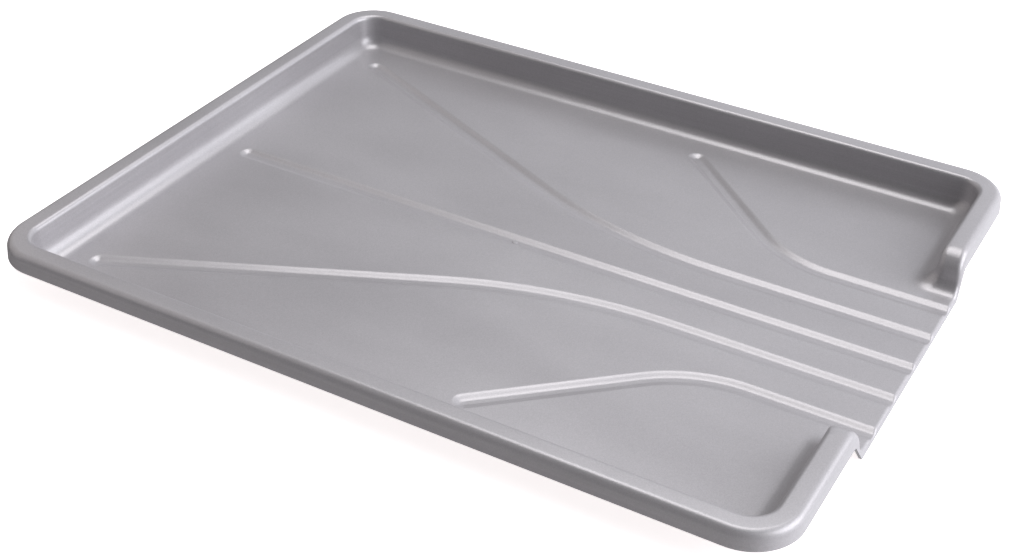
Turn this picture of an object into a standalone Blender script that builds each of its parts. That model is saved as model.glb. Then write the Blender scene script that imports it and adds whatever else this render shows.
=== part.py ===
"""Drip tray for a dish drainer: one moulded plastic shell with a raised rim, a pouring mouth in
one short side and five shallow channels that lead the water to it.

+X points out of the mouth, +Y across the tray, +Z up. The origin is the centre of the footprint.
"""

import math

import bpy
import numpy as np
from mathutils.geometry import delaunay_2d_cdt

# Driving dimensions, in millimetres unless a comment says otherwise.
RIM_LENGTH = 471.0  # outside of the rim, at its top
RIM_WIDTH = 372.0
WALL = 1.8  # thickness of the moulding
FLOOR_DEPTH = 22.2  # from the rim's top down to the floor
CORNER_R = 27.9  # plan radius of the rim's outside corners

RIM_OUTER_R = 4.5
RIM_FLAT = 6.2  # level land along the top of the rim
RIM_INNER_R = 3.3
PAN_DRAFT = math.radians(6.0)
FOOT_R = 9.5  # fillet from the walls and the mouth's ends to the floor
BESIDE_FOOT_R = 14.0  # the same fillet along the two walls beside the mouth
SKIRT_DROP = 10.4  # from the rim's top down to the skirt's edge
SKIRT_RUN = 0.0787  # outward run of the skirt per millimetre of drop

MOUTH_TOP = 97.4  # half width of the mouth where the rim starts to dip
MOUTH_CREST_R = 15.0
END_CORNER_R = 3.0  # plan radius of the land's corner at the mouth
END_CORNER_FOOT_R = 10.0  # the same corner down at the floor
SKIRT_END = 90.8  # half width where the skirt's edge turns down to the lip
SKIRT_END_R = 3.5
LIP_CORNER = 79.2  # half width of the lip's lower edge
LIP_ROUND = 0.7  # the lip's top edge radius as a share of its thickness
LIP_BACK = 1.4  # inset from the rim's outline where the floor's underside turns down into the lip
LIP_EDGE = 0.3  # inset of the inner side of the lip's lower edge

CHANNEL_DEPTH = 1.6
CHANNEL_FLAT = 1.05  # half width of a channel's level bottom
CHANNEL_SIDE = 5.5  # width of each sloped side
CHANNEL_PITCH = 31.0  # between channels where they run through the mouth
INNER_START = (-195.0, 0.469, 300.0)  # blind end x, slope in plan, bend radius
OUTER_START = (48.0, 0.906, 75.0)
INNER_AXIS_X = 42.8  # where each sloping run would meet its straight run
OUTER_AXIS_X = 139.5
CENTRE_START_X = -197.0

COLOUR = (0.36, 0.35, 0.365, 1.0)
METALLIC = 0.45
ROUGHNESS = 0.38

# Facets
CORNER_STEPS = 8
ROUND_STEPS = 4
SIDE_STEPS = 4
BEND_STEPS = 8
CAP_STEPS = 4
RIM_CREST_TURNS = (0, 20, 40, 60)  # degrees of turn at which a rounding gets a row of points
MOUTH_CREST_TURNS = (46, 58, 70)
FOOT_TURNS = (67, 50, 34, 17, 0)
SHARP_EDGE = math.radians(40)
TOLERANCE = 1e-4  # points closer than this are one point
SAME_PLANE = 0.99999  # cosine between the normals of faces that share a plane
HOLD = 0.02  # how firmly an underside point is kept square below its upper point

HEIGHT = FLOOR_DEPTH + CHANNEL_DEPTH + WALL
HALF_L = RIM_LENGTH / 2
HALF_W = RIM_WIDTH / 2
FACE_LEN = math.hypot(1.0, SKIRT_RUN)
BAND = RIM_OUTER_R * (FACE_LEN - SKIRT_RUN)  # inset where the outer rounding meets the land
LAND_EDGE = BAND + RIM_FLAT
WALL_START = 1 - math.sin(PAN_DRAFT)  # a rounding's drop up to the drafted wall, as a share of its radius


def bank_run(drop, crest_r, foot_r):
    """Run of a bank at a drop below the land: round crest, drafted wall, round foot."""
    crest = crest_r * WALL_START
    foot = foot_r * WALL_START
    across = crest_r * math.cos(PAN_DRAFT)
    if drop < crest:
        return math.sqrt(crest_r**2 - (crest_r - drop) ** 2)
    if drop < FLOOR_DEPTH - foot:
        return across + (drop - crest) * math.tan(PAN_DRAFT)
    wall = (FLOOR_DEPTH - crest - foot) * math.tan(PAN_DRAFT)
    rise = FLOOR_DEPTH - drop
    return across + wall + foot_r * math.cos(PAN_DRAFT) - math.sqrt(foot_r**2 - (foot_r - rise) ** 2)


def drop_at(radius, turn):
    """Drop of a rounding after a turn in degrees from level."""
    return radius * (1 - math.cos(math.radians(turn)))


def levels():
    """Drops at which the pan wall and the mouth's ends both get a row of points."""
    crest = [drop_at(RIM_INNER_R, turn) for turn in RIM_CREST_TURNS] + [RIM_INNER_R * WALL_START]
    crest += [drop_at(MOUTH_CREST_R, turn) for turn in MOUTH_CREST_TURNS] + [MOUTH_CREST_R * WALL_START]
    foot = [FOOT_R * WALL_START] + [drop_at(FOOT_R, turn) for turn in FOOT_TURNS]
    return crest + [FLOOR_DEPTH - rise for rise in foot]


def rim_loop(inset, beside=0.0):
    """Half of a line inset from the outside of the rim, from the back end to the mouth's side, which
    may be inset more."""
    points = [(inset - HALF_L, 0.0)]
    for x, start in ((CORNER_R - HALF_L, 180), (HALF_L - CORNER_R - beside, 90)):
        for i in range(CORNER_STEPS + 1):
            a = math.radians(start - 90 * i / CORNER_STEPS)
            r = CORNER_R - inset
            points.append((x + r * math.cos(a), HALF_W - CORNER_R + r * math.sin(a)))
    return points


def mouth_normal(drop):
    """Unit normal (y, z) of the mouth's end bank, pointing into the mouth."""
    if drop < MOUTH_CREST_R * WALL_START:
        a = math.acos(1 - drop / MOUTH_CREST_R)
    elif drop < FLOOR_DEPTH - FOOT_R * WALL_START:
        a = math.pi / 2 - PAN_DRAFT
    else:
        a = math.acos(min(1.0, 1 - (FLOOR_DEPTH - drop) / FOOT_R))
    return -math.sin(a), math.cos(a)


def edge_round(y, drop, normal, radius):
    """Points that round from the top surface at (y, drop) over to the outer face at the mouth side."""
    ny, nz = normal
    cy = y - radius * ny
    cz = -drop - radius * nz
    cx = HALF_L - SKIRT_RUN * cz - radius * FACE_LEN
    face = (1 / FACE_LEN, 0.0, SKIRT_RUN / FACE_LEN)
    turn = math.acos(nz * face[2])
    points = []
    for i in range(ROUND_STEPS + 1):
        u = i / ROUND_STEPS
        a = math.sin((1 - u) * turn) / math.sin(turn)
        b = math.sin(u * turn) / math.sin(turn)
        points.append((cx + radius * b * face[0], cy + radius * a * ny, cz + radius * (a * nz + b * face[2])))
    return points


def face_point(y, z):
    """A point of the outer face at the mouth side."""
    return (HALF_L - SKIRT_RUN * z, y, z)


def channel_section():
    """Offsets from a channel's centre line and their depths, from one edge to the other."""
    half = [(CHANNEL_FLAT, CHANNEL_DEPTH)]
    for i in range(1, SIDE_STEPS + 1):
        u = i / SIDE_STEPS
        half.append((CHANNEL_FLAT + CHANNEL_SIDE * u, CHANNEL_DEPTH * (1 + math.cos(math.pi * u)) / 2))
    return [(-s, d) for s, d in reversed(half)] + half


def channel_slope(offset):
    """Slope of a channel's surface at an offset, as (y, z) of its unit normal."""
    u = (abs(offset) - CHANNEL_FLAT) / CHANNEL_SIDE
    if u <= 0 or u >= 1:
        return 0.0, 1.0
    rise = math.copysign(CHANNEL_DEPTH * math.pi / (2 * CHANNEL_SIDE) * math.sin(math.pi * u), offset)
    return -rise / math.hypot(rise, 1), 1 / math.hypot(rise, 1)


def channel_path(offset, start, axis_x):
    """Centre line from the blind end to the mouth: (x, y, direction) where a cross-section goes."""
    if offset == 0:
        return [(CENTRE_START_X, 0.0, 0.0)]
    start_x, slope, radius = start
    turn = math.atan(slope)
    reach = radius * math.tan(turn / 2)
    path = [(start_x, offset + slope * (axis_x - start_x), -turn)]
    for i in range(BEND_STEPS + 1):
        a = turn * (1 - i / BEND_STEPS)
        path.append((axis_x + reach - radius * math.sin(a), offset + radius * (1 - math.cos(a)), -a))
    return path


class Skin:
    """The tray's upper surface for +Y, as shared points and faces."""

    def __init__(self):
        self.points = []
        self.faces = []
        self.known = {}
        self.under = {}

    def point(self, xyz):
        key = tuple(round(c, 4) for c in xyz)
        if key not in self.known:
            self.known[key] = len(self.points)
            self.points.append(xyz)
        return self.known[key]

    def face(self, corners):
        ring = [self.point(c) for c in corners]
        ring = [p for i, p in enumerate(ring) if p != ring[i - 1]]
        if len(ring) > 2:
            self.faces.append(ring)

    def strip(self, first, second):
        for i in range(len(first) - 1):
            self.face((first[i], second[i], second[i + 1], first[i + 1]))

    def fill(self, ring, flat):
        """Fill a plane outline with triangles; flat gives a point's two plane coordinates."""
        plane = [flat(c) for c in ring]
        count = len(ring)
        _, _, cells, origin, _, _ = delaunay_2d_cdt(
            plane, [(i, (i + 1) % count) for i in range(count)], [list(range(count))], 1, TOLERANCE
        )
        for cell in cells:
            self.face([ring[origin[i][0]] for i in cell])


def build_rim(skin):
    """The outer rounding, the land along the rim's top and the skirt, up to the mouth."""
    rows = []
    for i in range(ROUND_STEPS + 1):
        a = (math.pi / 2 - math.atan(SKIRT_RUN)) * i / ROUND_STEPS
        inset = BAND - RIM_OUTER_R * math.sin(a)
        rows.append([(x, y, RIM_OUTER_R * (math.cos(a) - 1)) for x, y in rim_loop(inset)])
    rows.append([(x, y, -SKIRT_DROP) for x, y in rim_loop(-SKIRT_RUN * SKIRT_DROP)])
    for upper, lower in zip(rows, rows[1:]):
        skin.strip(lower, upper)
    skin.strip(rows[0], [(x, y, 0.0) for x, y in rim_loop(LAND_EDGE)])
    return [row[-1] for row in rows]


def wall_row(drop, edge):
    """One level line of the pan wall, round the pan and round the rim's end to the mouth's edge."""
    grown = bank_run(drop, RIM_INNER_R, FOOT_R)
    beside = bank_run(drop, RIM_INNER_R, BESIDE_FOOT_R)
    x = HALF_L - LAND_EDGE - beside
    y = MOUTH_TOP - bank_run(drop, MOUTH_CREST_R, FOOT_R)
    r = END_CORNER_R + (END_CORNER_FOOT_R - END_CORNER_R) * drop / FLOOR_DEPTH
    row = rim_loop(LAND_EDGE + grown, beside - grown)
    for i in range(CAP_STEPS + 1):
        a = math.pi / 2 * i / CAP_STEPS
        row.append((x + r - r * math.cos(a), y + r - r * math.sin(a)))
    return [(px, py, -drop) for px, py in row] + [edge]


def build_mouth_end(skin, corner):
    """The rim's end at the mouth with its rounded outer edge, and the pan wall that runs into it."""
    drops = levels()
    rounds = []
    for drop in drops:
        share = drop / FLOOR_DEPTH
        radius = RIM_OUTER_R + (LIP_ROUND * (HEIGHT - FLOOR_DEPTH) - RIM_OUTER_R) * share
        y = MOUTH_TOP - bank_run(drop, MOUTH_CREST_R, FOOT_R)
        rounds.append(edge_round(y, drop, mouth_normal(drop), radius))
    for here, below in zip(rounds, rounds[1:]):
        skin.strip(here, below)
    skin.strip(corner[: ROUND_STEPS + 1], rounds[0])

    rows = [wall_row(drop, edge[0]) for drop, edge in zip(drops, rounds)]
    for upper, lower in zip(rows, rows[1:]):
        skin.strip(upper, lower)
    land = rows[0][2 * CORNER_STEPS + 2 :]
    skin.fill([corner[0], *reversed(land)], lambda c: c[:2])

    turn = math.atan2(HEIGHT - SKIRT_DROP, SKIRT_END - LIP_CORNER)
    reach = SKIRT_END_R * math.tan(turn / 2)
    lower = [corner[-1]]
    for i in range(ROUND_STEPS + 1):
        a = turn * i / ROUND_STEPS
        y = SKIRT_END + reach - SKIRT_END_R * math.sin(a)
        lower.append(face_point(y, -SKIRT_DROP - SKIRT_END_R * (1 - math.cos(a))))
    foot_y = rounds[-1][0][1]
    lower += [face_point(LIP_CORNER, -HEIGHT), face_point(foot_y, -HEIGHT)]
    upper = [corner[-2]] + [edge[-1] for edge in rounds]
    skin.fill(lower + upper[::-1], lambda c: c[1:])
    return rows[-1]


def build_lip(skin, foot):
    """The floor's edge across the mouth, down to its lower edge, with the channels running out."""
    stops = [(foot[-1][1], 0.0, (0.0, 1.0))]
    for n in (2, 1, 0):
        for s, depth in reversed(channel_section()):
            if n or s >= 0:
                stops.append((n * CHANNEL_PITCH + s, depth, channel_slope(s)))
    stops.append((0.0, CHANNEL_DEPTH, (0.0, 1.0)))
    columns = []
    for y, depth, normal in stops:
        top = FLOOR_DEPTH + depth
        radius = LIP_ROUND * (HEIGHT - top)
        column = edge_round(y, top, normal, radius)
        columns.append(column + [face_point(column[-1][1], -HEIGHT)])
        room = max(HEIGHT - top - WALL * normal[1], 0.0)
        for i, c in enumerate(columns[-1]):
            a = math.pi / 2 * i / len(column)
            x = HALF_L - LIP_BACK + (LIP_BACK - LIP_EDGE) * math.sin(a)
            skin.under[skin.point(c)] = (x, y - WALL * normal[0], room * math.cos(a) - HEIGHT)
    for here, there in zip(columns, columns[1:]):
        skin.strip(here, there)
    return [column[0] for column in columns]


def build_channels(skin, lip):
    """The channels; returns the outline that they leave in the floor, from +Y to the centre."""
    section = channel_section()
    outline = []
    taken = 1
    for n, start, axis_x in ((2, OUTER_START, OUTER_AXIS_X), (1, INNER_START, INNER_AXIS_X), (0, None, 0.0)):
        offset = n * CHANNEL_PITCH
        path = channel_path(offset, start, axis_x)
        sides = [(s, d) for s, d in section if n or s > 0]
        if not n:
            sides = [(0.0, CHANNEL_DEPTH)] + sides
        rows = []
        for x, y, a in path:
            rows.append(
                [(x - s * math.sin(a), y + s * math.cos(a), -FLOOR_DEPTH - d) for s, d in sides]
            )
        ends = lip[taken : taken + len(sides)]
        taken += len(sides)
        rows.append(ends[::-1])
        for here, there in zip(rows, rows[1:]):
            skin.strip(here, there)

        x, y, a = path[0]
        rings = [(s, d) for s, d in section if s > 0]
        sweep = math.pi if n else math.pi / 2
        steps = 2 * CAP_STEPS if n else CAP_STEPS
        cap = []
        for s, d in rings:
            turns = [a + math.pi / 2 + sweep * i / steps for i in range(steps + 1)]
            cap.append([(x + s * math.cos(b), y + s * math.sin(b), -FLOOR_DEPTH - d) for b in turns])
        for inner, outer in zip(cap, cap[1:]):
            skin.strip(inner, outer)
        skin.face(cap[0] if n else cap[0] + [(x, y, -FLOOR_DEPTH - CHANNEL_DEPTH)])

        outline += [row[-1] for row in reversed(rows)] + cap[-1][1:]
        if n:
            outline += [row[0] for row in rows[1:]]
    return outline


def both_sides(skin):
    """Points, faces and stated undersides of the whole upper surface."""
    count = len(skin.points)
    points = list(skin.points)
    twin = {}
    for i, (x, y, z) in enumerate(skin.points):
        if abs(y) < TOLERANCE:
            twin[i] = i
        else:
            twin[i] = len(points)
            points.append((x, -y, z))
    faces = skin.faces + [[twin[i] for i in reversed(ring)] for ring in skin.faces]
    under = dict(skin.under)
    for i in range(count):
        if i in skin.under:
            x, y, z = skin.under[i]
            under[twin[i]] = (x, -y if twin[i] != i else 0.0, z)
    return points, faces, under


def shell(points, faces, under):
    """Close the surface with an underside one wall thickness below it."""
    points = np.array(points)
    meets = [[] for _ in points]
    for ring in faces:
        arms = points[ring[1:]] - points[ring[0]]
        normal = np.cross(arms[:-1], arms[1:]).sum(axis=0)
        normal /= np.linalg.norm(normal)
        for i in ring:
            if all(normal @ other < SAME_PLANE for other in meets[i]):
                meets[i].append(normal)
    inner = np.empty_like(points)
    for i, normals in enumerate(meets):
        n = np.array(normals)
        mean = n.mean(axis=0)
        mean /= np.linalg.norm(mean)
        hold = HOLD * (np.eye(3) - np.outer(mean, mean))
        inner[i] = points[i] + np.linalg.solve(n.T @ n + hold, -WALL * n.sum(axis=0))
    sides = {(a, b) for ring in faces for a, b in zip(ring, ring[1:] + ring[:1])}
    rim = [(a, b) for a, b in sides if (b, a) not in sides]
    for a, _ in rim:
        inner[a][2] = points[a][2]
    for i, position in under.items():
        inner[i] = position
    count = len(points)
    closed = list(faces) + [[i + count for i in reversed(ring)] for ring in faces]
    closed += [[b, a, a + count, b + count] for a, b in sorted(rim)]
    return np.vstack([points, inner]), closed


def make_material():
    material = bpy.data.materials.new("silver_plastic")
    material.use_nodes = True
    shader = material.node_tree.nodes["Principled BSDF"]
    shader.inputs["Base Color"].default_value = COLOUR
    shader.inputs["Metallic"].default_value = METALLIC
    shader.inputs["Roughness"].default_value = ROUGHNESS
    material.diffuse_color = COLOUR
    material.metallic = METALLIC
    material.roughness = ROUGHNESS
    return material


def main():
    for obj in list(bpy.data.objects):
        bpy.data.objects.remove(obj)

    skin = Skin()
    corner = build_rim(skin)
    foot = build_mouth_end(skin, corner)
    lip = build_lip(skin, foot)
    outline = build_channels(skin, lip)
    skin.fill(foot + outline, lambda c: c[:2])
    points, faces = shell(*both_sides(skin))

    middle = (points[:, 0].max() + points[:, 0].min()) / 2
    points = (points + (-middle, 0.0, HEIGHT)) / 1000
    mesh = bpy.data.meshes.new("tray")
    mesh.from_pydata(points.tolist(), [], faces)
    mesh.validate()
    mesh.shade_smooth()
    mesh.set_sharp_from_angle(angle=SHARP_EDGE)
    mesh.materials.append(make_material())
    tray = bpy.data.objects.new("tray", mesh)
    bpy.context.scene.collection.objects.link(tray)


main()
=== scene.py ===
"""Looks of the dish drainer's drip tray: the moulding at full smoothness, its satin silver plastic,
and a plain studio round it."""

import math

import bpy
import numpy as np
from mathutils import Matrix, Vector
from mathutils.geometry import delaunay_2d_cdt


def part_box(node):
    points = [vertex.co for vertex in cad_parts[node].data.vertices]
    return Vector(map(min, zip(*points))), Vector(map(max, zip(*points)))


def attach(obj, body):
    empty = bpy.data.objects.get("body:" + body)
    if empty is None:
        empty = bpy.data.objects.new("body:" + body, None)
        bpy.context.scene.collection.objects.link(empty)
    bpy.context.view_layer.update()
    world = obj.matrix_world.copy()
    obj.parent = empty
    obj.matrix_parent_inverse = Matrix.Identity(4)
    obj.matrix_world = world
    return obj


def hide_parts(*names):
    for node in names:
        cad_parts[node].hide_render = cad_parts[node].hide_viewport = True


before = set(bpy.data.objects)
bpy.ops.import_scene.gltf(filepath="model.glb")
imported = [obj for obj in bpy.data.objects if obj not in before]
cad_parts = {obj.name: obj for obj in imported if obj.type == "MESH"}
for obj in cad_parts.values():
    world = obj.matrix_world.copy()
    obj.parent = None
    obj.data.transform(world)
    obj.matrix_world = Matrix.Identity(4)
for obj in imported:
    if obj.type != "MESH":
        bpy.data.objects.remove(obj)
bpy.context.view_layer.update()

# The moulding's sizes, in millimetres. Its overall size comes from the frame.
MM = 0.001
low, high = (np.array(corner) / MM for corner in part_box("tray"))
SIZE = high - low
WALL = 1.8
CORNER_R = 27.9  # plan radius of the rim's outside corners
RIM_OUTER_R = 4.5
RIM_FLAT = 6.2  # level land along the top of the rim
RIM_INNER_R = 3.3
PAN_DRAFT = math.radians(6.0)
FOOT_R = 9.5  # fillet from the walls and the mouth's ends to the floor
BESIDE_FOOT_R = 14.0  # the same fillet along the two walls beside the mouth
SKIRT_DROP = 10.4  # from the rim's top down to the skirt's edge
SKIRT_RUN = 0.0787  # outward run of the skirt per millimetre of drop

MOUTH_TOP = 97.4  # half width of the mouth where the rim starts to dip
MOUTH_CREST_R = 15.0
END_CORNER_R = 3.0  # plan radius of the land's corner at the mouth
END_CORNER_FOOT_R = 10.0  # the same corner down at the floor
SKIRT_END = 90.8  # half width where the skirt's edge turns down to the lip
SKIRT_END_R = 3.5
LIP_CORNER = 79.2  # half width of the lip's lower edge
LIP_ROUND = 0.7  # the lip's top edge radius as a share of its thickness
LIP_BACK = 1.4  # inset from the rim's outline where the floor's underside turns down into the lip
LIP_EDGE = 0.3  # inset of the inner side of the lip's lower edge

CHANNEL_DEPTH = 1.6
CHANNEL_FLAT = 1.05  # half width of a channel's level bottom
CHANNEL_SIDE = 5.5  # width of each sloped side
CHANNEL_PITCH = 31.0  # between channels where they run through the mouth
INNER_START = (-195.0, 0.469, 300.0)  # blind end x, slope in plan, bend radius
OUTER_START = (48.0, 0.906, 75.0)
INNER_AXIS_X = 42.8  # where each sloping run would meet its straight run
OUTER_AXIS_X = 139.5
CENTRE_START_X = -197.0
CHANNELS = (  # from the outermost in: pitches from the centre, start, meeting point
    (2, OUTER_START, OUTER_AXIS_X),
    (1, INNER_START, INNER_AXIS_X),
    (0, None, None),
)

GATE_X = -4.5  # stub left in the centre channel where the plastic entered the mould
GATE_R = 1.7
GATE_RISE = 0.4
# The stub's outline from below its edge to near its middle, as shares of its radius and rise
GATE_PROFILE = ((1.0, -0.5), (1.0, 0.4), (0.9, 0.85), (0.7, 1.0), (0.4, 0.9), (0.15, 0.6))

# Facets
CORNER_STEPS = 24
ROUND_STEPS = 8
SIDE_STEPS = 10
BEND_STEPS = 28
CAP_STEPS = 10
CREST_TURNS = range(0, 80, 8)  # degrees of turn at which a rounding gets a row of points
FOOT_TURNS = range(77, -1, -7)
ROW_GAP = 0.12  # rows of points closer in height than this are one row
GATE_STEPS = 32
SHARP_EDGE = math.radians(40)
TOLERANCE = 1e-4  # points closer than this are one point
POINT_DIGITS = 4  # decimals kept when points are compared
KEEP_INSIDE = 1  # the triangulator's choice to keep only what is inside the outline
SAME_PLANE = 0.99999  # cosine between the normals of faces that share a plane
HOLD = 0.02  # how firmly an underside point is kept square below its upper point

# The view and what is round the tray, in metres; the lens and sensor in millimetres
CAMERA_PLACE = (0.37778, -0.70319, 0.52118)
CAMERA_DOWN = math.radians(34.298)  # below the horizon
CAMERA_TURN = math.radians(28.604)  # left of +Y
CAMERA_ROLL = math.radians(1.622)
CAMERA_SENSOR = 36.0
CAMERA_LENS = 57.172
OPEN_SIDE = (0.75, 0.65, 0.05)  # direction in which the room is brightest
FLOOR_REACH = 6.0
FLOOR_GAP = 0.0002  # between the tray's underside and the floor
NOISE_SPAN = (0.3, 0.7)  # where most of a noise's values lie

# What follows from the sizes
HEIGHT = SIZE[2]
FLOOR_DEPTH = HEIGHT - CHANNEL_DEPTH - WALL
HALF_L = (SIZE[0] - SKIRT_RUN * (SKIRT_DROP + HEIGHT)) / 2
HALF_W = SIZE[1] / 2 - SKIRT_RUN * SKIRT_DROP
FACE_LEN = math.hypot(1.0, SKIRT_RUN)
BAND = RIM_OUTER_R * (FACE_LEN - SKIRT_RUN)  # inset where the outer rounding meets the land
LAND_EDGE = BAND + RIM_FLAT
WALL_START = 1 - math.sin(PAN_DRAFT)  # drop of a rounding up to the drafted wall, per radius


def bank_run(drop, crest_r, foot_r):
    """Run of a bank at a drop below the land: round crest, drafted wall, round foot."""
    crest = crest_r * WALL_START
    foot = foot_r * WALL_START
    across = crest_r * math.cos(PAN_DRAFT)
    if drop < crest:
        return math.sqrt(crest_r**2 - (crest_r - drop) ** 2)
    if drop < FLOOR_DEPTH - foot:
        return across + (drop - crest) * math.tan(PAN_DRAFT)
    wall = (FLOOR_DEPTH - crest - foot) * math.tan(PAN_DRAFT)
    rise = FLOOR_DEPTH - drop
    return across + wall + foot_r * math.cos(PAN_DRAFT) - math.sqrt(foot_r**2 - (foot_r - rise) ** 2)


def drop_at(radius, turn):
    """Drop of a rounding after a turn in degrees from level."""
    return radius * (1 - math.cos(math.radians(turn)))


def levels():
    """Drops at which the pan wall and the mouth's ends both get a row of points."""
    crests = (RIM_INNER_R, MOUTH_CREST_R)
    fixed = [0.0, *(r * WALL_START for r in crests), FLOOR_DEPTH - FOOT_R * WALL_START, FLOOR_DEPTH]
    loose = [drop_at(r, turn) for r in crests for turn in CREST_TURNS]
    loose += [FLOOR_DEPTH - drop_at(FOOT_R, turn) for turn in FOOT_TURNS]
    drops = list(fixed)
    for drop in sorted(loose):
        if min(abs(drop - other) for other in drops) > ROW_GAP:
            drops.append(drop)
    return sorted(drops)


def rim_loop(inset, beside=0.0):
    """Half of a line inset from the outside of the rim, from the back end to the mouth's side, which
    may be inset more."""
    points = [(inset - HALF_L, 0.0)]
    for x, start in ((CORNER_R - HALF_L, 180), (HALF_L - CORNER_R - beside, 90)):
        for i in range(CORNER_STEPS + 1):
            a = math.radians(start - 90 * i / CORNER_STEPS)
            r = CORNER_R - inset
            points.append((x + r * math.cos(a), HALF_W - CORNER_R + r * math.sin(a)))
    return points


def mouth_normal(drop):
    """Unit normal (y, z) of the mouth's end bank, pointing into the mouth."""
    if drop < MOUTH_CREST_R * WALL_START:
        a = math.acos(1 - drop / MOUTH_CREST_R)
    elif drop < FLOOR_DEPTH - FOOT_R * WALL_START:
        a = math.pi / 2 - PAN_DRAFT
    else:
        a = math.acos(min(1.0, 1 - (FLOOR_DEPTH - drop) / FOOT_R))
    return -math.sin(a), math.cos(a)


def edge_round(y, drop, normal, radius):
    """Points that round from the top surface at (y, drop) over to the outer face at the mouth side."""
    ny, nz = normal
    cy = y - radius * ny
    cz = -drop - radius * nz
    cx = HALF_L - SKIRT_RUN * cz - radius * FACE_LEN
    face = (1 / FACE_LEN, 0.0, SKIRT_RUN / FACE_LEN)
    turn = math.acos(nz * face[2])
    points = []
    for i in range(ROUND_STEPS + 1):
        u = i / ROUND_STEPS
        a = math.sin((1 - u) * turn) / math.sin(turn)
        b = math.sin(u * turn) / math.sin(turn)
        z = cz + radius * (a * nz + b * face[2])
        points.append((cx + radius * b * face[0], cy + radius * a * ny, z))
    return points


def face_point(y, z):
    """A point of the outer face at the mouth side."""
    return (HALF_L - SKIRT_RUN * z, y, z)


def channel_section():
    """Offsets from a channel's centre line and their depths, from one edge to the other."""
    half = [(CHANNEL_FLAT, CHANNEL_DEPTH)]
    for i in range(1, SIDE_STEPS + 1):
        u = i / SIDE_STEPS
        half.append((CHANNEL_FLAT + CHANNEL_SIDE * u, CHANNEL_DEPTH * (1 + math.cos(math.pi * u)) / 2))
    return [(-s, d) for s, d in reversed(half)] + half


def channel_slope(offset):
    """Slope of a channel's surface at an offset, as (y, z) of its unit normal."""
    u = (abs(offset) - CHANNEL_FLAT) / CHANNEL_SIDE
    if u <= 0 or u >= 1:
        return 0.0, 1.0
    rise = math.copysign(CHANNEL_DEPTH * math.pi / (2 * CHANNEL_SIDE) * math.sin(math.pi * u), offset)
    return -rise / math.hypot(rise, 1), 1 / math.hypot(rise, 1)


def channel_path(offset, start, axis_x):
    """Centre line from the blind end to the mouth: (x, y, direction) where a cross-section goes."""
    if offset == 0:
        return [(CENTRE_START_X, 0.0, 0.0)]
    start_x, slope, radius = start
    turn = math.atan(slope)
    reach = radius * math.tan(turn / 2)
    path = [(start_x, offset + slope * (axis_x - start_x), -turn)]
    for i in range(BEND_STEPS + 1):
        a = turn * (1 - i / BEND_STEPS)
        path.append((axis_x + reach - radius * math.sin(a), offset + radius * (1 - math.cos(a)), -a))
    return path


class Skin:
    """The tray's upper surface for +Y, as shared points and faces."""

    def __init__(self):
        self.points = []
        self.faces = []
        self.known = {}
        self.under = {}

    def point(self, xyz):
        """The number of a point, which is shared by all that use it."""
        key = tuple(round(c, POINT_DIGITS) for c in xyz)
        if key not in self.known:
            self.known[key] = len(self.points)
            self.points.append(xyz)
        return self.known[key]

    def face(self, corners):
        """A face through some points, or none where they run together."""
        ring = [self.point(c) for c in corners]
        ring = [p for i, p in enumerate(ring) if p != ring[i - 1]]
        if len(ring) > 2:
            self.faces.append(ring)

    def strip(self, first, second):
        """A band of faces between two rows of points."""
        for i in range(len(first) - 1):
            self.face((first[i], second[i], second[i + 1], first[i + 1]))

    def fill(self, ring, flat):
        """Fill a plane outline with triangles; flat gives a point's two plane coordinates."""
        plane = [flat(c) for c in ring]
        count = len(ring)
        edges = [(i, (i + 1) % count) for i in range(count)]
        made = delaunay_2d_cdt(plane, edges, [list(range(count))], KEEP_INSIDE, TOLERANCE)
        cells, origin = made[2:4]
        for cell in cells:
            self.face([ring[origin[i][0]] for i in cell])


def build_rim(skin):
    """The outer rounding, the land along the rim's top and the skirt, up to the mouth."""
    rows = []
    for i in range(ROUND_STEPS + 1):
        a = (math.pi / 2 - math.atan(SKIRT_RUN)) * i / ROUND_STEPS
        inset = BAND - RIM_OUTER_R * math.sin(a)
        rows.append([(x, y, RIM_OUTER_R * (math.cos(a) - 1)) for x, y in rim_loop(inset)])
    rows.append([(x, y, -SKIRT_DROP) for x, y in rim_loop(-SKIRT_RUN * SKIRT_DROP)])
    for upper, lower in zip(rows, rows[1:]):
        skin.strip(lower, upper)
    skin.strip(rows[0], [(x, y, 0.0) for x, y in rim_loop(LAND_EDGE)])
    return [row[-1] for row in rows]


def wall_row(drop, edge):
    """One level line of the pan wall, round the pan and round the rim's end to the mouth's edge."""
    grown = bank_run(drop, RIM_INNER_R, FOOT_R)
    beside = bank_run(drop, RIM_INNER_R, BESIDE_FOOT_R)
    x = HALF_L - LAND_EDGE - beside
    y = MOUTH_TOP - bank_run(drop, MOUTH_CREST_R, FOOT_R)
    r = END_CORNER_R + (END_CORNER_FOOT_R - END_CORNER_R) * drop / FLOOR_DEPTH
    row = rim_loop(LAND_EDGE + grown, beside - grown)
    for i in range(CAP_STEPS + 1):
        a = math.pi / 2 * i / CAP_STEPS
        row.append((x + r - r * math.cos(a), y + r - r * math.sin(a)))
    return [(px, py, -drop) for px, py in row] + [edge]


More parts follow.
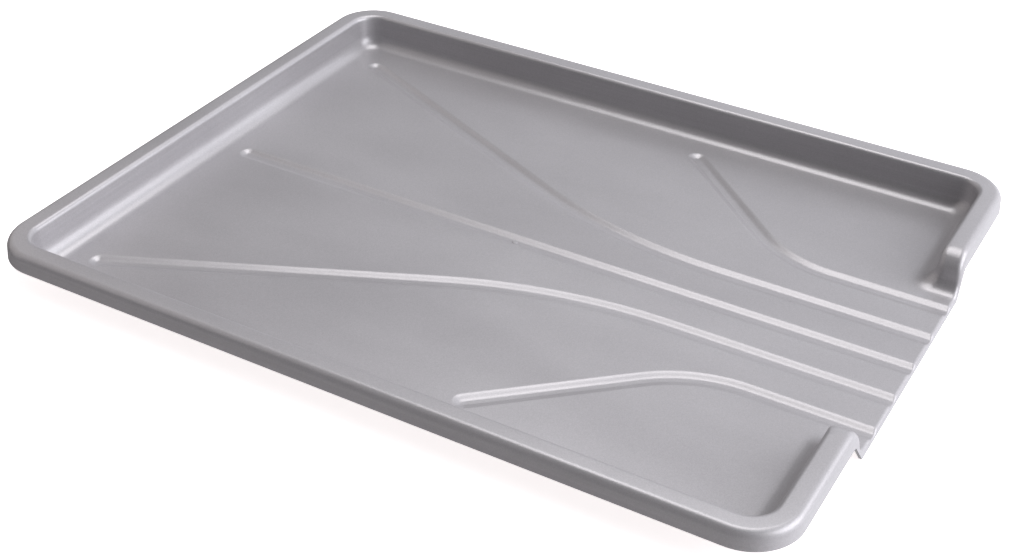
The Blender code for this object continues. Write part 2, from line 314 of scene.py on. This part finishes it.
def build_outer_face(skin, corner, rounds):
    """The face at the mouth side below the rounded edge, from the skirt down to the lip."""
    turn = math.atan2(HEIGHT - SKIRT_DROP, SKIRT_END - LIP_CORNER)
    reach = SKIRT_END_R * math.tan(turn / 2)
    lower = [corner[-1]]
    for i in range(ROUND_STEPS + 1):
        a = turn * i / ROUND_STEPS
        y = SKIRT_END + reach - SKIRT_END_R * math.sin(a)
        lower.append(face_point(y, -SKIRT_DROP - SKIRT_END_R * (1 - math.cos(a))))
    foot_y = rounds[-1][0][1]
    lower += [face_point(LIP_CORNER, -HEIGHT), face_point(foot_y, -HEIGHT)]
    upper = [corner[-2]] + [edge[-1] for edge in rounds]
    skin.fill(lower + upper[::-1], lambda c: c[1:])


def build_mouth_end(skin, corner):
    """The rim's end at the mouth with its rounded outer edge, and the pan wall that runs into it."""
    drops = levels()
    rounds = []
    for drop in drops:
        share = drop / FLOOR_DEPTH
        radius = RIM_OUTER_R + (LIP_ROUND * (HEIGHT - FLOOR_DEPTH) - RIM_OUTER_R) * share
        y = MOUTH_TOP - bank_run(drop, MOUTH_CREST_R, FOOT_R)
        rounds.append(edge_round(y, drop, mouth_normal(drop), radius))
    for here, below in zip(rounds, rounds[1:]):
        skin.strip(here, below)
    skin.strip(corner[: ROUND_STEPS + 1], rounds[0])

    rows = [wall_row(drop, edge[0]) for drop, edge in zip(drops, rounds)]
    for upper, lower in zip(rows, rows[1:]):
        skin.strip(upper, lower)
    land = rows[0][2 * CORNER_STEPS + 2 :]
    skin.fill([corner[0], *reversed(land)], lambda c: c[:2])

    build_outer_face(skin, corner, rounds)
    return rows[-1]


def build_lip(skin, foot):
    """The floor's edge across the mouth, down to its lower edge, with the channels running out."""
    stops = [(foot[-1][1], 0.0, (0.0, 1.0))]
    for n, _, _ in CHANNELS:
        for s, depth in reversed(channel_section()):
            if n or s >= 0:
                stops.append((n * CHANNEL_PITCH + s, depth, channel_slope(s)))
    stops.append((0.0, CHANNEL_DEPTH, (0.0, 1.0)))
    columns = []
    for y, depth, normal in stops:
        top = FLOOR_DEPTH + depth
        radius = LIP_ROUND * (HEIGHT - top)
        column = edge_round(y, top, normal, radius)
        columns.append(column + [face_point(column[-1][1], -HEIGHT)])
        room = max(HEIGHT - top - WALL * normal[1], 0.0)
        for i, c in enumerate(columns[-1]):
            a = math.pi / 2 * i / len(column)
            x = HALF_L - LIP_BACK + (LIP_BACK - LIP_EDGE) * math.sin(a)
            skin.under[skin.point(c)] = (x, y - WALL * normal[0], room * math.cos(a) - HEIGHT)
    for here, there in zip(columns, columns[1:]):
        skin.strip(here, there)
    return [column[0] for column in columns]


def blind_end(skin, place, section, whole):
    """A channel's round end, or the half of it on the +Y side; returns its edge in the floor."""
    x, y, heading = place
    sweep = math.pi if whole else math.pi / 2
    steps = 2 * CAP_STEPS if whole else CAP_STEPS
    turns = [heading + math.pi / 2 + sweep * i / steps for i in range(steps + 1)]
    rings = []
    for s, depth in section:
        if s > 0:
            z = -FLOOR_DEPTH - depth
            rings.append([(x + s * math.cos(b), y + s * math.sin(b), z) for b in turns])
    for inner, outer in zip(rings, rings[1:]):
        skin.strip(inner, outer)
    middle = [] if whole else [(x, y, -FLOOR_DEPTH - CHANNEL_DEPTH)]
    skin.face(rings[0] + middle)
    return rings[-1]


def build_channels(skin, lip):
    """The channels; returns the outline that they leave in the floor, from +Y to the centre."""
    section = channel_section()
    outline = []
    taken = 1  # the lip's first point is the end of the floor beside the channels
    for n, start, axis_x in CHANNELS:
        sides = section if n else [(0.0, CHANNEL_DEPTH)] + [(s, d) for s, d in section if s > 0]
        path = channel_path(n * CHANNEL_PITCH, start, axis_x)
        rows = []
        for x, y, a in path:
            row = [(x - s * math.sin(a), y + s * math.cos(a), -FLOOR_DEPTH - d) for s, d in sides]
            rows.append(row)
        rows.append(lip[taken : taken + len(sides)][::-1])
        taken += len(sides)
        for here, there in zip(rows, rows[1:]):
            skin.strip(here, there)
        edge = blind_end(skin, path[0], section, n > 0)
        outline += [row[-1] for row in reversed(rows)] + edge[1:]
        if n:
            outline += [row[0] for row in rows[1:]]
    return outline


def both_sides(skin):
    """Points, faces and stated undersides of the whole upper surface."""
    count = len(skin.points)
    points = list(skin.points)
    twin = {}
    for i, (x, y, z) in enumerate(skin.points):
        if abs(y) < TOLERANCE:
            twin[i] = i
        else:
            twin[i] = len(points)
            points.append((x, -y, z))
    faces = skin.faces + [[twin[i] for i in reversed(ring)] for ring in skin.faces]
    under = dict(skin.under)
    for i in range(count):
        if i in skin.under:
            x, y, z = skin.under[i]
            under[twin[i]] = (x, -y if twin[i] != i else 0.0, z)
    return points, faces, under


def meeting_normals(points, faces):
    """The different directions in which the faces round each point face."""
    meets = [[] for _ in points]
    for ring in faces:
        arms = points[ring[1:]] - points[ring[0]]
        normal = np.cross(arms[:-1], arms[1:]).sum(axis=0)
        normal /= np.linalg.norm(normal)
        for i in ring:
            if all(normal @ other < SAME_PLANE for other in meets[i]):
                meets[i].append(normal)
    return meets


def shell(points, faces, under):
    """Close the surface with an underside one wall thickness below it."""
    points = np.array(points)
    inner = np.empty_like(points)
    for i, normals in enumerate(meeting_normals(points, faces)):
        n = np.array(normals)
        mean = n.mean(axis=0)
        mean /= np.linalg.norm(mean)
        hold = HOLD * (np.eye(3) - np.outer(mean, mean))
        inner[i] = points[i] + np.linalg.solve(n.T @ n + hold, -WALL * n.sum(axis=0))
    sides = {(a, b) for ring in faces for a, b in zip(ring, ring[1:] + ring[:1])}
    rim = [(a, b) for a, b in sides if (b, a) not in sides]
    for a, _ in rim:
        inner[a][2] = points[a][2]
    for i, position in under.items():
        inner[i] = position
    count = len(points)
    closed = list(faces) + [[i + count for i in reversed(ring)] for ring in faces]
    closed += [[b, a, a + count, b + count] for a, b in sorted(rim)]
    return np.vstack([points, inner]), closed


def link(name, data):
    """A new object of the scene that shows this data."""
    obj = bpy.data.objects.new(name, data)
    bpy.context.scene.collection.objects.link(obj)
    return obj


def smooth_piece(name, points, faces, material):
    """A smooth-shaded object from points in millimetres."""
    mesh = bpy.data.meshes.new(name)
    mesh.from_pydata((points * MM).tolist(), [], faces)
    mesh.shade_smooth()
    mesh.set_sharp_from_angle(angle=SHARP_EDGE)
    mesh.materials.append(material)
    return link(name, mesh)


def make_shell(material):
    """The whole moulding as one smooth closed mesh, placed in the frame's box."""
    skin = Skin()
    corner = build_rim(skin)
    foot = build_mouth_end(skin, corner)
    lip = build_lip(skin, foot)
    outline = build_channels(skin, lip)
    skin.fill(foot + outline, lambda c: c[:2])
    points, faces = shell(*both_sides(skin))
    shift = (low + high) / 2 - (points.min(axis=0) + points.max(axis=0)) / 2
    tray = smooth_piece("tray_shell", points + shift, faces, material)
    even = tray.modifiers.new("even_normals", "WEIGHTED_NORMAL")
    even.keep_sharp = True
    return tray


def make_gate_mark(material):
    """The low cut-off stub in the centre channel, sunk a little into the channel's bottom."""
    points = []
    for share, rise in GATE_PROFILE:
        r = GATE_R * share
        z = low[2] + WALL + GATE_RISE * rise
        for i in range(GATE_STEPS):
            a = 2 * math.pi * i / GATE_STEPS
            points.append((GATE_X + r * math.cos(a), r * math.sin(a), z))
    rings = [list(range(i * GATE_STEPS, (i + 1) * GATE_STEPS)) for i in range(len(GATE_PROFILE))]
    faces = [rings[0][::-1], rings[-1]]
    for outer, inner in zip(rings, rings[1:]):
        for i in range(GATE_STEPS):
            faces.append([outer[i - 1], outer[i], inner[i], inner[i - 1]])
    return smooth_piece("gate_mark", np.array(points), faces, material)


def add(tree, kind, **values):
    """A node with inputs linked or set, or properties set, by name."""
    node = tree.nodes.new(kind)
    for name, value in values.items():
        if isinstance(value, bpy.types.NodeSocket):
            tree.links.new(value, node.inputs[name])
        elif name in node.inputs:
            node.inputs[name].default_value = value
        else:
            setattr(node, name, value)
    return node


def remap(tree, value, source, target):
    """A node that moves a value from one range to another."""
    ends = {"From Min": source[0], "From Max": source[1], "To Min": target[0], "To Max": target[1]}
    return add(tree, "ShaderNodeMapRange", Value=value, **ends)


def stretched_noise(tree, where, stretch, **values):
    """A noise whose pattern is squeezed along each axis."""
    place = add(tree, "ShaderNodeMapping", Vector=where, Scale=stretch)
    return add(tree, "ShaderNodeTexNoise", Vector=place.outputs["Vector"], **values).outputs["Fac"]


def scaled(tree, colour, factor):
    """A colour made lighter or darker by a factor."""
    node = add(tree, "ShaderNodeVectorMath", operation="SCALE", Vector=colour, Scale=factor)
    return node.outputs["Vector"]


def plastic_colour(tree, where, flow):
    """Silver grey with faint flow marks, fine metallic flake and level streaks on the walls."""
    tint = add(tree, "ShaderNodeValToRGB", Fac=flow)
    darker, lighter = tint.color_ramp.elements
    darker.position = 0.30
    darker.color = (0.375, 0.362, 0.378, 1.0)
    lighter.position = 0.72
    lighter.color = (0.415, 0.403, 0.420, 1.0)
    flake = add(tree, "ShaderNodeTexVoronoi", Vector=where, Scale=2600.0)
    glint = remap(tree, flake.outputs["Color"], (0.0, 1.0), (0.90, 1.10))
    flaked = scaled(tree, tint.outputs["Color"], glint.outputs["Result"])
    streak = stretched_noise(tree, where, (7.0, 7.0, 620.0), Scale=1.0, Detail=3.0, Roughness=0.6)
    drawn = remap(tree, streak, NOISE_SPAN, (0.96, 1.04))
    return scaled(tree, flaked, drawn.outputs["Result"])


def plastic_relief(tree, where):
    """A fine moulded grain over slow waves."""
    grain = add(tree, "ShaderNodeTexNoise", Vector=where, Scale=1500.0, Detail=2.0, Roughness=0.6)
    fine = add(tree, "ShaderNodeBump", Height=grain.outputs["Fac"], Strength=0.10, Distance=0.00006)
    wave = add(tree, "ShaderNodeTexNoise", Vector=where, Scale=26.0, Detail=1.0, Roughness=0.4)
    slow = add(
        tree,
        "ShaderNodeBump",
        Normal=fine.outputs["Normal"],
        Height=wave.outputs["Fac"],
        Strength=0.25,
        Distance=0.0004,
    )
    return slow.outputs["Normal"]


def silver_plastic():
    """Satin moulded plastic with a slightly uneven polish."""
    material = bpy.data.materials.new("silver_plastic")
    material.use_nodes = True
    tree = material.node_tree
    shader = tree.nodes["Principled BSDF"]
    shader.inputs["Metallic"].default_value = 0.45
    shader.inputs["IOR"].default_value = 1.5
    where = add(tree, "ShaderNodeTexCoord").outputs["Object"]
    flow = stretched_noise(tree, where, (0.5, 1.6, 1.0), Scale=9.0, Detail=4.0, Roughness=0.55)
    polish = remap(tree, flow, NOISE_SPAN, (0.33, 0.40))
    tree.links.new(plastic_colour(tree, where, flow), shader.inputs["Base Color"])
    tree.links.new(polish.outputs["Result"], shader.inputs["Roughness"])
    tree.links.new(plastic_relief(tree, where), shader.inputs["Normal"])
    return material


def pale_floor():
    """A wide, plain matt floor just under the tray, a little luminous so that shadows stay faint."""
    material = bpy.data.materials.new("pale_floor")
    material.use_nodes = True
    shader = material.node_tree.nodes["Principled BSDF"]
    shader.inputs["Base Color"].default_value = (0.86, 0.86, 0.87, 1.0)
    shader.inputs["Roughness"].default_value = 0.9
    shader.inputs["Emission Color"].default_value = (1.0, 0.95, 0.94, 1.0)
    shader.inputs["Emission Strength"].default_value = 0.80
    z = low[2] * MM - FLOOR_GAP
    corners = [(x * FLOOR_REACH, y * FLOOR_REACH, z) for x, y in ((-1, -1), (1, -1), (1, 1), (-1, 1))]
    mesh = bpy.data.meshes.new("floor")
    mesh.from_pydata(corners, [], [(0, 1, 2, 3)])
    mesh.materials.append(material)
    floor = link("floor", mesh)
    floor.visible_glossy = False
    return floor


def softbox(name, place, target, size, watts, tint):
    """A rectangular soft light aimed at a point."""
    lamp = bpy.data.lights.new(name, "AREA")
    lamp.shape = "RECTANGLE"
    lamp.size, lamp.size_y = size
    lamp.energy = watts
    lamp.color = tint
    obj = link(name, lamp)
    obj.location = place
    obj.rotation_euler = (Vector(target) - Vector(place)).to_track_quat("-Z", "Y").to_euler()
    obj.visible_camera = False


def make_room():
    """A dim room that brightens towards the open side behind the mouth."""
    world = bpy.data.worlds.new("room")
    world.use_nodes = True
    tree = world.node_tree
    backdrop = tree.nodes["Background"]
    backdrop.inputs["Color"].default_value = (0.82, 0.83, 0.87, 1.0)
    where = add(tree, "ShaderNodeTexCoord").outputs["Generated"]
    facing = add(tree, "ShaderNodeVectorMath", operation="DOT_PRODUCT", Vector=where)
    facing.inputs[1].default_value = OPEN_SIDE
    glow = remap(tree, facing.outputs["Value"], (-0.3, 1.0), (0.06, 1.7))
    glow.interpolation_type = "SMOOTHSTEP"
    tree.links.new(glow.outputs["Result"], backdrop.inputs["Strength"])
    bpy.context.scene.world = world
    bpy.context.scene.view_settings.view_transform = "Standard"


def studio():
    """Large soft lights overhead and beside the mouth, and a weak one beyond the back end."""
    make_room()
    softbox(
        "overhead",
        place=(-0.13, 0.33, 1.25),
        target=(-0.13, 0.33, 0.0),
        size=(0.85, 0.85),
        watts=8.5,
        tint=(1.0, 0.99, 0.98),
    )
    softbox(
        "side",
        place=(1.40, 0.30, 0.78),
        target=(0.0, 0.0, 0.0),
        size=(1.6, 1.1),
        watts=17.0,
        tint=(0.98, 0.985, 1.0),
    )
    softbox(
        "fill",
        place=(-1.20, -0.15, 0.75),
        target=(0.2, 0.0, 0.0),
        size=(1.9, 1.4),
        watts=5.5,
        tint=(1.0, 0.94, 0.91),
    )


def make_camera():
    """The viewpoint: in front of the mouth's near corner, looking down across the tray."""
    lens = bpy.data.cameras.new("camera")
    lens.sensor_width = CAMERA_SENSOR
    lens.lens = CAMERA_LENS
    camera = link("camera", lens)
    camera.location = CAMERA_PLACE
    camera.rotation_euler = (math.pi / 2 - CAMERA_DOWN, 0.0, CAMERA_TURN)
    camera.rotation_euler.rotate_axis("Z", CAMERA_ROLL)
    bpy.context.scene.camera = camera


make_camera()
studio()
pale_floor()
plastic = silver_plastic()
tray = make_shell(plastic)
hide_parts("tray")
for piece in (tray, make_gate_mark(plastic)):
    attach(piece, "root")
